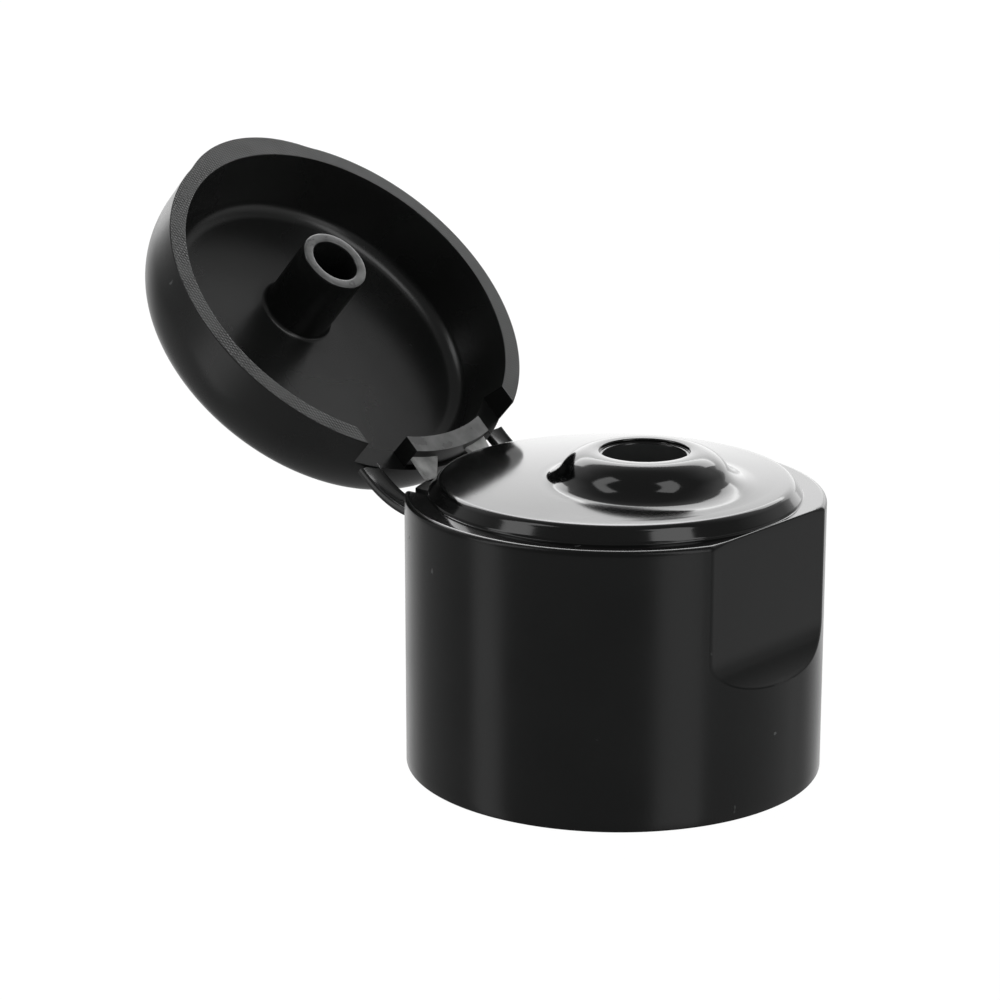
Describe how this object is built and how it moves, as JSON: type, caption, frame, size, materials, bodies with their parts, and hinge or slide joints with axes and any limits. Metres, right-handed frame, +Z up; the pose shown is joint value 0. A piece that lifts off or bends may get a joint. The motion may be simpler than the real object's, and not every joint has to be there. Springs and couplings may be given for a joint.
{
  "type": "flip top cap",
  "caption": "Round dispensing cap with a raised deck, an offset nozzle, a thumb recess and a domed lid with a plug pin, joined by a flexible moulded hinge.",
  "frame": {"origin": "on the cap's axis, at the bottom rim, at the mouth of the neck thread", "axes": "+Z up along the cap's axis, -Y towards the thumb recess, +Y towards the hinge, X along the hinge line"},
  "size_m": [0.028, 0.0513, 0.0386],
  "materials": {
    "base_plastic": "glossy black moulded polypropylene",
    "lid_plastic": "satin black moulded polypropylene",
    "hinge_plastic": "thin flexed black polypropylene"
  },
  "bodies": {
    "base": {"base": "base_plastic", "web_left": "hinge_plastic", "web_right": "hinge_plastic", "strap_left": "hinge_plastic", "strap_right": "hinge_plastic"},
    "lid": {"lid": "lid_plastic"}
  },
  "joints": [
    {"name": "lid_hinge", "type": "hinge", "parent": "base", "child": "lid", "pos_m": [0, 0.0139, 0.01915], "axis": [1, 0, 0], "range_deg": [0, 137.56], "deforming": ["web_left", "web_right", "strap_left", "strap_right"]}
  ]
}
